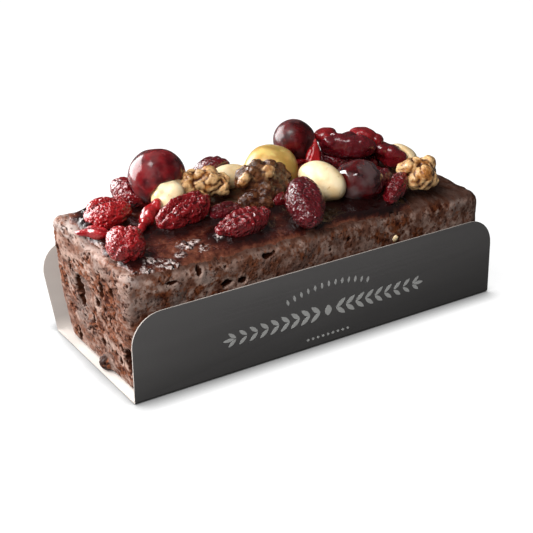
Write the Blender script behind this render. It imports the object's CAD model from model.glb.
"""Dresses the packed fruit cake bar: crumb, glaze, fruit, nuts, card tray and a plain studio.

Sizes and colours sit in the property groups below, one operator makes each piece or group of
like pieces, and main() calls them in order. Distances inside the shaping functions are
millimetres; meshes and the frame are in metres.
"""

import math

import bmesh
import bpy
import numpy as np
from bpy.props import FloatProperty, FloatVectorProperty, IntProperty, PointerProperty
from mathutils import Matrix, Vector, noise
from mathutils.bvhtree import BVHTree


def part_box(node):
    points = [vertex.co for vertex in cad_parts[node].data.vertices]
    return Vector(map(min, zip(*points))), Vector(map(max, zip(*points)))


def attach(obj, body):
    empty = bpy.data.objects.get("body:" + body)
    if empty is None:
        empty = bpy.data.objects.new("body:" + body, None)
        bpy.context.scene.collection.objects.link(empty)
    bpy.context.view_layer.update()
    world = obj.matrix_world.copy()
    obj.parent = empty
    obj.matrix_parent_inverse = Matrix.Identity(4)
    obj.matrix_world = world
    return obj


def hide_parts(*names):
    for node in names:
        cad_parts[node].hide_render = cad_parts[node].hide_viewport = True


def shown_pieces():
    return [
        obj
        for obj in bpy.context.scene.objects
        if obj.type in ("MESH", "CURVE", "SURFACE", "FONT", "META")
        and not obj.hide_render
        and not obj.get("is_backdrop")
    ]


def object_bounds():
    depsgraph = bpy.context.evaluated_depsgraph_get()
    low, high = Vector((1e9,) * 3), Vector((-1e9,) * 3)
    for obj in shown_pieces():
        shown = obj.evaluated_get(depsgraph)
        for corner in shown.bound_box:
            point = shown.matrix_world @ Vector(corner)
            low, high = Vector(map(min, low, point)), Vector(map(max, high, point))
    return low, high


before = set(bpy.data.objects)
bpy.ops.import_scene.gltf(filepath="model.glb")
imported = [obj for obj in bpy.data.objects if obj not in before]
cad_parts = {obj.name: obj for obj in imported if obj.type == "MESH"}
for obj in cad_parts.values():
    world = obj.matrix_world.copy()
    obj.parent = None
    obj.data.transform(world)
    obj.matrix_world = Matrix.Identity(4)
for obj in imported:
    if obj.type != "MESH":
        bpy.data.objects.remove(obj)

bl_info = {
    "name": "Fruit cake bar",
    "version": (1, 0, 0),
    "blender": (4, 5, 0),
    "location": "3D View > Sidebar > Fruit cake",
    "description": "Crumb, glaze, fruit, nuts and card tray for a packed fruit cake bar",
    "category": "Object",
}

MM = 0.001
MERGE = 0.00001
FLAT = math.radians(12)
FINE_ABOVE = 0.030
SMOOTH = 6.0
NOISE_SEED = 3
BODY = "root"
CAD_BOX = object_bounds()

# Each topping's finish: how bright its red is from 0 to 1, the width and depth of its wrinkles
# and the depth of the fold along its upper side, in millimetres.
BERRIES = {
    "berry_corner": (0.85, 4.2, 0.34, 0.6),
    "berry_tongue": (0.80, 7.0, 0.22, 0.5),
    "berry_left": (1.00, 3.8, 0.34, 0.9),
    "berry_rear_left": (0.35, 5.0, 0.22, 2.2),
    "berry_upright_left": (0.90, 7.0, 0.12, 0.0),
    "berry_split": (0.50, 3.6, 0.36, 2.9),
    "berry_front": (0.42, 4.2, 0.14, 1.2),
    "berry_curl": (0.12, 3.0, 0.40, 1.4),
    "berry_small": (0.25, 3.0, 0.40, 0.6),
    "berry_middle": (0.12, 3.2, 0.20, 0.0),
    "berry_right": (0.30, 3.0, 0.24, 0.7),
    "berry_glazed": (0.10, 3.5, 0.22, 0.0),
    "berry_back": (0.15, 3.0, 0.40, 0.8),
    "berry_peak": (1.00, 7.0, 0.16, 0.6),
    "berry_crest": (0.50, 7.0, 0.20, 0.0),
    "berry_long": (0.15, 7.5, 0.40, 0.5),
    "berry_dome": (0.50, 7.0, 0.20, 0.0),
    "berry_trail": (0.30, 7.0, 0.30, 0.4),
    "berry_under_a": (0.50, 3.0, 0.35, 0.0),
    "berry_under_b": (0.10, 3.0, 0.35, 0.0),
    "berry_under_c": (0.15, 3.0, 0.35, 0.0),
    "berry_hollow_a": (0.30, 3.0, 0.35, 0.0),
    "berry_hollow_b": (0.10, 3.0, 0.35, 0.0),
    "berry_rear_a": (0.55, 2.4, 0.42, 0.8),
    "berry_rear_b": (0.50, 2.4, 0.42, 0.8),
    "berry_rear_c": (0.30, 2.4, 0.42, 0.8),
}
RIBS = {"berry_front": 0.20, "berry_split": 0.10}
# Where a thin rim runs along a berry's near edge, as a share of its half width.
RIMS = {"berry_front": -0.72, "berry_split": -0.80}
# Lumps that draw a berry out or join the candied ones into a strand: middle and radius, in mm.
BERRY_LUMPS = {
    "berry_upright_left": ((-60.0, -5.8, 51.9, 2.5), (-62.2, -8.0, 51.7, 2.3), (-64.0, -9.8, 51.5, 2.1)),
    "berry_crest": ((36.6, 12.0, 62.6, 2.6),),
    "berry_long": ((35.4, 8.0, 62.6, 2.6), (46.8, 1.6, 62.0, 3.0), (38.6, 9.4, 63.4, 2.4)),
    "berry_dome": ((46.4, 4.4, 61.4, 3.4), (56.2, 2.6, 60.6, 3.4)),
    "berry_trail": ((54.8, -1.6, 58.6, 3.0), (61.0, -6.0, 55.6, 2.8)),
}
# The way a berry narrows towards one end and by what share of its width.
TAPERS = {
    "berry_peak": ((0.1, 0.0, 1.0), 0.65),
    "berry_tongue": ((-1.0, 0.3, 0.0), 0.70),
    "berry_upright_left": ((-0.7, -0.7, -0.1), 0.30),
}
# Each red cherry: how brightly its flesh is lit through, how strong and how blurred its gloss is,
# how much of it a grey bloom veils, and how deep its dents are in millimetres.
CHERRIES = {
    "cherry_left": (0.62, 0.30, 0.10, 0.30, 0.20),
    "cherry_front": (0.28, 1.00, 0.04, 0.75, 0.85),
    "cherry_top": (0.32, 0.30, 0.20, 0.35, 0.35),
}
# How much wider a soft cherry has spread than it was tall.
SWOLLEN = {"cherry_front": (1.18, 1.14, 1.0)}
GOLDEN_CHERRY = "cherry_golden"
NUTS = ("nut_left", "nut_back", "nut_middle", "nut_right", "nut_rear")
WALNUTS = ("walnut_left", "walnut_middle", "walnut_right")

# How much of each walnut the glaze has darkened, the height in millimetres that it stands to, and
# the knobs that stay dry: middle and radius.
SOAKED = {
    "walnut_left": (0.22, 54.0, ()),
    "walnut_middle": (0.94, 59.0, ((-5.9, -7.6, 62.2, 3.6), (-16.4, -6.2, 60.8, 3.0), (-13.0, -5.4, 61.0, 2.4))),
    "walnut_right": (0.05, 50.0, ()),
}
# A chip of nut in the front side of the crumb: middle and radius.
NUT_CHIP = (35.1, -37.0, 35.0, 1.5)
# Lobes beside a nut's body: middle and radius, in millimetres.
NUT_LOBES = {
    "nut_left": (
        (-47.2, 5.4, 56.8, 2.6),
        (-44.6, 7.0, 58.6, 2.8),
        (-41.4, 8.6, 60.0, 2.8),
        (-38.0, 10.0, 60.6, 2.6),
        (-42.0, 4.6, 56.8, 4.4),
        (-45.4, 2.6, 54.4, 4.0),
    ),
}
# The round knobs of each walnut: middle and radius, in millimetres.
WALNUT_KNOBS = {
    "walnut_left": (
        (-33.5, 8.6, 58.9, 3.7),
        (-29.8, 11.3, 60.2, 2.6),
        (-25.4, 5.2, 57.6, 4.7),
        (-28.5, 7.0, 60.9, 2.5),
        (-35.4, 8.0, 57.4, 2.9),
        (-22.0, 11.0, 59.0, 3.6),
        (-30.0, 13.6, 57.5, 3.4),
        (-17.8, 7.4, 56.6, 3.0),
        (-21.4, 2.6, 55.0, 3.2),
    ),
    "walnut_middle": (
        (-5.9, -7.6, 62.2, 2.7),
        (-7.2, -0.6, 63.0, 2.6),
        (-1.8, -2.2, 62.6, 2.6),
        (2.6, -2.4, 60.2, 2.7),
        (5.0, -3.4, 57.2, 2.4),
        (-15.0, -6.0, 61.4, 2.3),
        (-12.0, -4.8, 62.6, 2.5),
        (-16.4, -5.6, 59.0, 2.4),
        (-9.5, 0.6, 60.0, 3.2),
        (-3.0, 0.8, 59.6, 3.2),
        (-8.6, -9.6, 55.2, 4.0),
        (-14.6, -9.4, 53.0, 3.8),
        (-3.4, -9.6, 54.0, 3.6),
        (-11.0, -12.6, 51.6, 3.8),
        (-18.6, -9.0, 51.4, 3.2),
        (1.6, -7.4, 55.0, 3.4),
    ),
    "walnut_right": (
        (53.6, -31.2, 56.2, 4.1),
        (53.8, -30.8, 53.4, 3.6),
        (59.2, -27.4, 59.0, 3.3),
        (49.8, -26.8, 59.0, 2.8),
        (48.6, -24.0, 57.6, 2.8),
        (53.4, -26.4, 59.6, 2.7),
        (49.8, -29.6, 53.4, 3.1),
        (56.9, -32.4, 54.0, 3.0),
        (60.6, -24.0, 56.6, 3.6),
        (55.0, -21.5, 56.6, 3.6),
    ),
}

# The crumb's own directions are drawn out across the cake.
GRAIN = (1.0, 0.6, 1.0)
CRUMB_MARKS = ("hole", "raisin", "loose", "crust", "film")
# Crumbly places on the cut end: across, up and radius, in millimetres.
CRUMBLY_SPOTS = (
    (20.5, 26.5, 4.0),
    (22.5, 37.0, 3.6),
    (10.0, 34.5, 3.0),
    (2.0, 34.2, 4.2),
    (-4.0, 33.0, 4.0),
    (-10.0, 33.0, 3.0),
    (-16.0, 35.5, 4.6),
    (-20.0, 31.0, 3.4),
    (-23.5, 35.0, 5.4),
    (-29.5, 33.0, 5.4),
    (-28.0, 27.5, 4.6),
    (8.0, 22.0, 3.4),
    (3.0, 19.0, 3.0),
    (11.0, 6.0, 3.0),
    (-21.5, 19.0, 3.6),
    (-16.0, 23.0, 2.4),
    (-11.5, 17.0, 3.0),
    (-20.0, 10.0, 3.0),
    (-33.0, 18.0, 3.4),
    (-36.0, 7.0, 3.6),
)

# Crumbly places on the long front side: along, up and radius.
FRONT_SPOTS = (
    (35.3, 40.0, 3.6),
    (72.2, 41.0, 3.0),
    (-24.0, 38.5, 4.0),
    (-8.0, 38.0, 3.0),
    (-70.0, 34.0, 4.5),
    (-79.0, 30.0, 4.0),
)

# The raisin that stands out at the foot of the cut end: middle and radius, in millimetres.
RAISIN_LUMP = (-82.1, -13.6, 3.3, 3.3)

# Where the glaze stands deepest in front of the cherries: along, across and half its length.
PUDDLE = (26.0, -28.0, 20.0)

# Crinkled places in the glaze that catch the light: along, across and radius, in millimetres.
GLINTS = (
    (-65.0, -32.5, 4.6),
    (-69.5, -29.5, 3.4),
    (-73.5, -33.0, 2.6),
    (-53.0, -24.0, 3.6),
    (-48.5, -23.0, 2.4),
    (-57.5, -29.0, 2.4),
    (-47.5, -28.5, 2.4),
    (-80.5, -34.0, 4.0),
    (-76.0, -24.0, 2.6),
    (-70.0, -22.0, 2.0),
    (-79.0, 27.0, 3.4),
    (-40.0, -26.0, 1.6),
)

# Torn holes in the cut end: across, up, half width, half height and depth, in millimetres.
CUT_END_HOLES = (
    (4.0, 28.6, 4.0, 4.2, 2.2),
    (2.4, 23.4, 3.2, 3.4, 1.8),
    (-34.4, 13.4, 4.0, 4.4, 2.4),
    (-29.0, 16.6, 1.6, 1.6, 1.2),
    (-11.3, 27.4, 1.9, 1.9, 1.6),
    (-15.0, 34.4, 1.5, 3.0, 1.3),
    (-23.8, 36.6, 1.8, 2.2, 1.2),
    (9.4, 5.6, 1.0, 3.2, 1.6),
    (12.0, 34.2, 1.2, 3.0, 1.4),
    (22.8, 37.4, 1.3, 2.0, 1.2),
    (-12.4, 11.2, 1.2, 1.6, 1.0),
    (-6.0, 18.8, 1.0, 2.0, 1.0),
    (-20.6, 24.0, 0.9, 2.2, 1.0),
    (-27.0, 10.6, 1.0, 1.4, 1.0),
    (-37.0, 4.0, 1.2, 1.6, 1.0),
)
# Holes in the long front side: along, up, half width, half height and depth.
FRONT_HOLES = (
    (-54.6, 43.2, 1.0, 2.0, 1.8),
    (-45.6, 45.6, 0.7, 0.7, 1.0),
    (-25.4, 42.0, 2.1, 1.0, 2.0),
    (-43.5, 35.6, 2.4, 1.3, 2.2),
    (-36.7, 35.2, 1.6, 1.2, 2.0),
    (-66.0, 41.4, 2.2, 0.6, 0.9),
    (12.0, 40.0, 0.9, 0.8, 1.2),
)


# ---------------------------------------------------------------- shaping


def smoothstep(low, high, value):
    share = min(max((value - low) / (high - low), 0.0), 1.0)
    return share * share * (3 - 2 * share)


def merged_copy(node):
    """A CAD node's mesh as a bmesh, with its loose triangles merged."""
    bm = bmesh.new()
    bm.from_mesh(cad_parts[node].data)
    bmesh.ops.remove_doubles(bm, verts=bm.verts, dist=MERGE)
    return bm


def through_modifier(bm, kind, **settings):
    """The bmesh as one modifier leaves it."""
    mesh = bpy.data.meshes.new("work")
    bm.to_mesh(mesh)
    bm.free()
    work = bpy.data.objects.new("work", mesh)
    bpy.context.scene.collection.objects.link(work)
    modifier = work.modifiers.new(kind, kind)
    for name, value in settings.items():
        setattr(modifier, name, value)
    graph = bpy.context.evaluated_depsgraph_get()
    result = bmesh.new()
    result.from_mesh(work.evaluated_get(graph).to_mesh())
    bpy.data.objects.remove(work)
    bpy.data.meshes.remove(mesh)
    return result


def remeshed(bm, cell):
    """An even skin of quads over the shape, a cell wide."""
    return through_modifier(bm, "REMESH", mode="VOXEL", voxel_size=cell, adaptivity=0.0)


def relaxed(bm, times, share=0.5):
    for _ in range(times):
        bmesh.ops.smooth_vert(
            bm, verts=bm.verts, factor=share, use_axis_x=True, use_axis_y=True, use_axis_z=True
        )


def pressed(bm, relief, marks=()):
    """Moves each point along its normal by relief(place, normal), and stores its marks.

    Place and the move are millimetres. relief gives the move and one value for each mark.
    """
    noise.seed_set(NOISE_SEED)
    bm.normal_update()
    layers = [bm.verts.layers.float.new(mark) for mark in marks]
    moves = [relief(vert.co / MM, vert.normal) for vert in bm.verts]
    for vert, move in zip(bm.verts, moves):
        vert.co += vert.normal * move[0] * MM
        for layer, value in zip(layers, move[1:]):
            vert[layer] = value
    bm.normal_update()


def finished(name, bm, *materials):
    """The bmesh as a smooth object at the origin."""
    mesh = bpy.data.meshes.new(name)
    bm.to_mesh(mesh)
    bm.free()
    mesh.shade_smooth()
    for material in materials:
        mesh.materials.append(material)
    piece = bpy.data.objects.new(name, mesh)
    bpy.context.scene.collection.objects.link(piece)
    return piece


def add_knobs(bm, knobs):
    """Joins round knobs to a kernel."""
    for x, y, z, radius in knobs:
        place = Matrix.Translation(Vector((x, y, z)) * MM)
        bmesh.ops.create_icosphere(bm, subdivisions=3, radius=radius * MM, matrix=place)


def own_axes(bm):
    """A piece's middle in millimetres and its long, wide and upright directions as matrix rows."""
    places = np.array([vert.co for vert in bm.verts]) / MM
    middle = places.mean(axis=0)
    spread = np.cov((places - middle).T)
    directions = np.linalg.eigh(spread)[1].T[::-1]
    long, wide, upright = [Vector(direction) for direction in directions]
    if upright.z < 0:
        upright = -upright
    if long.x < 0:
        long = -long
    wide = upright.cross(long)
    return Vector(middle), Matrix((long, wide, upright))


def cells(place):
    """Distances to the nearest two points of a scattered set, and a number from 0 to 1 for the cell."""
    distances, points = noise.voronoi(place)
    return distances[0], distances[1], 0.5 + 0.5 * noise.cell(points[0] * 7.3)


def hole_depth(across, up, hole):
    """How deep a torn hole is at a place beside its middle, and how far inside it the place is."""
    middle_across, middle_up, half_width, half_height, depth = hole
    ragged = 0.35 * noise.noise(Vector((across, up, depth)) / 1.3)
    away = math.hypot((across - middle_across) / half_width, (up - middle_up) / half_height)
    inside = 1 - smoothstep(0.78, 1.10, away + ragged)
    return depth * inside, inside


# ---------------------------------------------------------------- materials


def add_node(tree, kind, inputs=None, **settings):
    """A new shader node, with each input given a value or joined to another node's output."""
    node = tree.nodes.new(kind)
    for name, value in settings.items():
        setattr(node, name, value)
    for name, value in (inputs or {}).items():
        if isinstance(value, bpy.types.NodeSocket):
            tree.links.new(value, node.inputs[name])
        else:
            node.inputs[name].default_value = value
    return node


def add_ramp(tree, value, stops):
    """A colour ramp from (place, colour) stops."""
    node = add_node(tree, "ShaderNodeValToRGB", {"Fac": value})
    elements = node.color_ramp.elements
    while len(elements) < len(stops):
        elements.new(0.5)
    for element, (place, colour) in zip(elements, stops):
        element.position = place
        element.color = (*colour, 1.0) if hasattr(colour, "__len__") else (colour,) * 3 + (1.0,)
    return node.outputs["Color"]


def mixed(tree, share, first, second, blend="MIX"):
    """First and second colours mixed by a share."""
    node = tree.nodes.new("ShaderNodeMix")
    node.data_type = "RGBA"
    node.blend_type = blend
    colours = [socket for socket in node.inputs if socket.type == "RGBA"]
    for socket, value in ((node.inputs[0], share), (colours[0], first), (colours[1], second)):
        if isinstance(value, bpy.types.NodeSocket):
            tree.links.new(value, socket)
        elif hasattr(value, "__len__"):
            socket.default_value = (*value, 1.0)
        else:
            socket.default_value = value
    return [socket for socket in node.outputs if socket.type == "RGBA"][0]


def sums(tree, operation, first, second, clamp=False):
    node = add_node(tree, "ShaderNodeMath", operation=operation, use_clamp=clamp)
    for socket, value in zip(node.inputs, (first, second)):
        if isinstance(value, bpy.types.NodeSocket):
            tree.links.new(value, socket)
        else:
            socket.default_value = value
    return node.outputs[0]


def new_group(name, inputs, outputs):
    """An empty shader node group with float inputs and (name, type) outputs."""
    group = bpy.data.node_groups.new(name, "ShaderNodeTree")
    for label, default in inputs:
        kind = "NodeSocketVector" if hasattr(default, "__len__") else "NodeSocketFloat"
        socket = group.interface.new_socket(label, in_out="INPUT", socket_type=kind)
        socket.default_value = default
    for label, kind in outputs:
        group.interface.new_socket(label, in_out="OUTPUT", socket_type=kind)
    start = group.nodes.new("NodeGroupInput")
    end = group.nodes.new("NodeGroupOutput")
    return group, start.outputs, end.inputs


def patches_group():
    """Soft irregular patches of a given size, as a mask from 0 to 1."""
    if "Patches" in bpy.data.node_groups:
        return bpy.data.node_groups["Patches"]
    group, start, end = new_group(
        "Patches",
        (
            ("Per Metre", 200.0),
            ("Detail", 3.0),
            ("Low", 0.4),
            ("High", 0.6),
            ("Shift", 0.0),
            ("Stretch", (1.0, 1.0, 1.0)),
        ),
        (("Mask", "NodeSocketFloat"),),
    )
    place = add_node(group, "ShaderNodeTexCoord").outputs["Object"]
    drawn = add_node(group, "ShaderNodeVectorMath", operation="MULTIPLY")
    group.links.new(place, drawn.inputs[0])
    group.links.new(start["Stretch"], drawn.inputs[1])
    inputs = {"Vector": drawn.outputs[0], "W": start["Shift"], "Scale": start["Per Metre"]}
    inputs["Detail"] = start["Detail"]
    cloud = add_node(group, "ShaderNodeTexNoise", inputs, noise_dimensions="4D")
    limits = {"Value": cloud.outputs["Fac"], "From Min": start["Low"], "From Max": start["High"]}
    mask = add_node(group, "ShaderNodeMapRange", limits, interpolation_type="SMOOTHSTEP")
    group.links.new(mask.outputs[0], end["Mask"])
    return group


def wrinkles_group():
    """Fine creases between small cells, as a height from 0 in a crease to 1 on a cell."""
    if "Fine wrinkles" in bpy.data.node_groups:
        return bpy.data.node_groups["Fine wrinkles"]
    group, start, end = new_group(
        "Fine wrinkles", (("Per Metre", 900.0), ("Width", 0.3)), (("Height", "NodeSocketFloat"),)
    )
    place = add_node(group, "ShaderNodeTexCoord").outputs["Object"]
    cloud = add_node(
        group, "ShaderNodeTexNoise", {"Vector": place, "Scale": start["Per Metre"], "Detail": 1.0}
    )
    bent = add_node(group, "ShaderNodeVectorMath", operation="SCALE")
    group.links.new(cloud.outputs["Color"], bent.inputs[0])
    bent.inputs["Scale"].default_value = 0.0012
    moved = add_node(group, "ShaderNodeVectorMath", operation="ADD")
    group.links.new(place, moved.inputs[0])
    group.links.new(bent.outputs[0], moved.inputs[1])
    net = add_node(
        group,
        "ShaderNodeTexVoronoi",
        {"Vector": moved.outputs[0], "Scale": start["Per Metre"]},
        feature="DISTANCE_TO_EDGE",
    )
    limits = {"Value": net.outputs["Distance"], "From Max": start["Width"]}
    height = add_node(group, "ShaderNodeMapRange", limits, interpolation_type="SMOOTHERSTEP")
    group.links.new(height.outputs[0], end["Height"])
    return group


def patches(tree, size, low, high, detail=3.0, shift=0.0, stretch=(1.0, 1.0, 1.0)):
    """A mask of soft patches about size millimetres across, longer along an axis with less stretch."""
    node = add_node(tree, "ShaderNodeGroup", node_tree=patches_group())
    values = {"Per Metre": 1000.0 / size, "Detail": detail, "Low": low, "High": high}
    values.update({"Shift": shift, "Stretch": stretch})
    for name, value in values.items():
        node.inputs[name].default_value = value
    return node.outputs["Mask"]


def fine_wrinkles(tree, size, width):
    node = add_node(tree, "ShaderNodeGroup", node_tree=wrinkles_group())
    node.inputs["Per Metre"].default_value = 1000.0 / size
    node.inputs["Width"].default_value = width
    return node.outputs["Height"]


def mark(tree, name):
    """The value that shaping stored on the mesh under this name."""
    return add_node(tree, "ShaderNodeAttribute", attribute_name=name).outputs["Fac"]


def bumped(tree, height, depth, normal=None, strength=1.0):
    """A bump a given number of millimetres deep."""
    node = add_node(tree, "ShaderNodeBump", {"Height": height, "Strength": strength})
    node.inputs["Distance"].default_value = depth * MM
    if normal:
        tree.links.new(normal, node.inputs["Normal"])
    return node.outputs["Normal"]


def new_material(name, colour=None, roughness=0.5, normal=None, **settings):
    """A material's Principled BSDF with its plain settings, and its tree to work in."""
    material = bpy.data.materials.new(name)
    material.use_nodes = True
    tree = material.node_tree
    shader = tree.nodes["Principled BSDF"]
    for label, value in settings.items():
        shader.inputs[label.replace("_", " ")].default_value = value
    return material, tree, shader


def crumb_material(settings):
    material, tree, shader = new_material("crumb", Specular_IOR_Level=0.08, IOR=1.45)

    def drawn(size, low, high, detail, shift):
        return patches(tree, size, low, high, detail, shift, GRAIN)

    rise = sums(tree, "MULTIPLY", mark(tree, "rise"), 0.55)
    cloud = sums(tree, "MULTIPLY", drawn(3.4, 0.30, 0.70, 6.0, 0.0), 0.45)
    height = sums(tree, "ADD", rise, cloud)
    crumbly = add_ramp(
        tree,
        height,
        ((0.34, settings.dark), (0.54, settings.toasted), (0.66, settings.middle), (0.95, settings.pale)),
    )
    smeared = add_ramp(
        tree, height, ((0.18, settings.dark), (0.40, settings.middle), (0.64, settings.pale))
    )
    loose = add_ramp(tree, mark(tree, "loose"), ((0.25, 0.0), (0.75, 1.0)))
    tone = mixed(tree, loose, smeared, crumbly)
    murk = sums(tree, "MULTIPLY", drawn(10.0, 0.50, 0.62, 5.0, 41.0), 0.65)
    tone = mixed(tree, murk, tone, settings.murky)
    shade = sums(tree, "MULTIPLY", drawn(14.0, 0.40, 0.66, 3.0, 23.0), 0.5)
    tone = mixed(tree, shade, tone, settings.middle)
    zone = drawn(8.0, 0.44, 0.58, 4.0, 9.0)
    freckle = sums(tree, "MULTIPLY", drawn(1.6, 0.50, 0.62, 4.0, 4.0), zone)
    freckle = sums(tree, "MULTIPLY", freckle, 0.7)
    colour = mixed(tree, freckle, tone, settings.toasted)
    film = sums(tree, "MULTIPLY", drawn(1.8, 0.34, 0.52, 5.0, 27.0), mark(tree, "film"))
    colour = mixed(tree, sums(tree, "MULTIPLY", film, 0.9), colour, settings.film)
    specks = sums(tree, "MULTIPLY", drawn(1.1, 0.55, 0.64, 4.0, 17.0), 0.75)
    colour = mixed(tree, specks, colour, settings.specks)
    raisin = mixed(tree, drawn(1.3, 0.50, 0.60, 3.0, 19.0), settings.raisin, settings.toasted)
    colour = mixed(tree, sums(tree, "MULTIPLY", mark(tree, "raisin"), 0.95), colour, raisin)
    torn = add_ramp(tree, mark(tree, "hole"), ((0.06, 0.0), (0.38, 1.0)))
    colour = mixed(tree, torn, colour, settings.deep)
    colour = mixed(tree, sums(tree, "MULTIPLY", mark(tree, "crust"), 0.8), colour, settings.crust)
    tree.links.new(colour, shader.inputs["Base Color"])
    wet = drawn(4.0, 0.42, 0.62, 3.0, 31.0)
    rough = add_ramp(tree, wet, ((0.0, 0.85), (1.0, 0.42)))
    rough = mixed(tree, mark(tree, "raisin"), rough, (0.45, 0.45, 0.45))
    tree.links.new(rough, shader.inputs["Roughness"])
    grain = patches(tree, 0.8, 0.2, 0.8, 4.0, 3.0)
    coarse = patches(tree, 2.2, 0.2, 0.8, 4.0, 5.0)
    normal = bumped(tree, coarse, 0.22)
    uneven = sums(tree, "MULTIPLY", grain, sums(tree, "ADD", mark(tree, "loose"), 0.25))
    normal = bumped(tree, uneven, 0.22, normal)
    tree.links.new(normal, shader.inputs["Normal"])
    return material


def glaze_material(settings):
    material, tree, shader = new_material(
        "glaze", Coat_Roughness=0.12, IOR=1.55, Coat_IOR=1.4, Specular_IOR_Level=0.5
    )
    depth = mark(tree, "depth")
    ragged = sums(tree, "MULTIPLY", patches(tree, 1.8, 0.3, 0.7, 4.0, 2.0), 0.24)
    depth = sums(tree, "SUBTRACT", sums(tree, "ADD", depth, 0.10), ragged, clamp=True)
    colour = add_ramp(
        tree, depth, ((0.08, settings.thin), (0.50, settings.middle), (0.90, settings.thick))
    )
    colour = mixed(tree, sums(tree, "MULTIPLY", mark(tree, "rim"), 0.8), colour, settings.rim)
    sugary = sums(tree, "MULTIPLY", patches(tree, 1.5, 0.47, 0.56, 4.0, 14.0), mark(tree, "crinkled"))
    colour = mixed(tree, sugary, colour, settings.sugar)
    tree.links.new(colour, shader.inputs["Base Color"])
    wet = sums(tree, "MULTIPLY", add_ramp(tree, depth, ((0.04, 0.3), (0.30, 1.0))), mark(tree, "wet"))
    tree.links.new(sums(tree, "MULTIPLY", wet, 0.3), shader.inputs["Coat Weight"])
    rough = add_ramp(tree, wet, ((0.0, 0.66), (0.7, 0.13)))
    tree.links.new(rough, shader.inputs["Roughness"])
    normal = bumped(tree, patches(tree, 3.2, 0.2, 0.8, 3.0, 8.0), 0.50)
    crinkle = sums(tree, "MULTIPLY", patches(tree, 2.2, 0.35, 0.65, 2.0, 14.0), mark(tree, "crinkled"))
    normal = bumped(tree, crinkle, 2.2, normal)
    tree.links.new(normal, shader.inputs["Normal"])
    return material


def berry_material(name, ridge, valley, shade, wrinkle, blur):
    """Dried berry skin: red ridges, darker valleys, fine wrinkles so deep, gloss so blurred."""
    material, tree, shader = new_material(
        name,
        Subsurface_Weight=0.20,
        Subsurface_Radius=(1.0, 0.12, 0.10),
        Subsurface_Scale=0.0015,
        Coat_Weight=0.20,
        Coat_Roughness=0.10 + blur,
        Coat_IOR=1.5,
        IOR=1.85,
    )
    colour = add_ramp(tree, mark(tree, "rise"), ((0.22, valley), (0.60, ridge)))
    colour = mixed(tree, patches(tree, 5.5, 0.48, 0.75, 2.0), colour, shade)
    tree.links.new(colour, shader.inputs["Base Color"])
    rough = add_ramp(
        tree, patches(tree, 3.0, 0.3, 0.7, 2.0, 6.0), ((0.0, 0.02 + blur), (1.0, 0.16 + blur))
    )
    tree.links.new(rough, shader.inputs["Roughness"])
    normal = bumped(tree, fine_wrinkles(tree, 1.9, 0.5), wrinkle)
    normal = bumped(tree, patches(tree, 0.8, 0.2, 0.8, 2.0, 12.0), 0.4 * wrinkle, normal)
    normal = bumped(tree, patches(tree, 3.6, 0.2, 0.8, 1.0, 21.0), 0.45, normal)
    tree.links.new(normal, shader.inputs["Normal"])
    return material


def cherry_material(name, flesh, deep, gloss, blur, veil, bloom, transmission):
    """Candied cherry: clear outside with so much gloss, so blurred, and clouded flesh within."""
    material, tree, shader = new_material(
        name,
        Subsurface_Weight=0.35,
        Subsurface_Radius=(1.0, 0.22, 0.16),
        Subsurface_Scale=0.003,
        Coat_Weight=gloss,
        Coat_Roughness=blur,
        Coat_IOR=1.5,
        Specular_IOR_Level=0.2 + 0.3 * gloss,
        Transmission_Weight=transmission,
        IOR=1.42,
    )
    cloud = patches(tree, 6.0, 0.36, 0.68, 3.0)
    colour = mixed(tree, cloud, deep, flesh)
    streaks = sums(tree, "MULTIPLY", patches(tree, 2.6, 0.58, 0.70, 2.0, 33.0), 0.35)
    bright = tuple(min(1.5 * channel + 0.05, 1.0) for channel in flesh)
    colour = mixed(tree, streaks, colour, bright)
    veiled = sums(tree, "MULTIPLY", patches(tree, 7.0, 0.40, 0.62, 3.0, 52.0), veil)
    colour = mixed(tree, veiled, colour, bloom)
    tree.links.new(colour, shader.inputs["Base Color"])
    rough = add_ramp(tree, patches(tree, 3.5, 0.3, 0.7), ((0.0, 0.06 + blur), (1.0, 0.12 + blur)))
    tree.links.new(rough, shader.inputs["Roughness"])
    normal = bumped(tree, patches(tree, 6.0, 0.2, 0.8, 1.0, 5.0), 0.12)
    tree.links.new(normal, shader.inputs["Normal"])
    return material


def nut_material(settings):
    material, tree, shader = new_material(
        "nut",
        Subsurface_Weight=0.15,
        Subsurface_Radius=(1.0, 0.7, 0.4),
        Subsurface_Scale=0.0015,
        Coat_Weight=0.35,
        Coat_Roughness=0.18,
        IOR=1.45,
    )
    colour = mixed(tree, patches(tree, 6.0, 0.35, 0.75, 3.0), settings.cream, settings.tan)
    colour = mixed(tree, patches(tree, 1.6, 0.62, 0.74, 3.0, 7.0), colour, settings.fleck)
    colour = mixed(tree, sums(tree, "MULTIPLY", mark(tree, "toasted"), 0.6), colour, settings.toast)
    tree.links.new(colour, shader.inputs["Base Color"])
    rough = add_ramp(tree, patches(tree, 4.0, 0.3, 0.7), ((0.0, 0.34), (1.0, 0.5)))
    tree.links.new(rough, shader.inputs["Roughness"])
    normal = bumped(tree, patches(tree, 1.2, 0.2, 0.8, 3.0, 5.0), 0.05)
    tree.links.new(normal, shader.inputs["Normal"])
    return material


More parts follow.
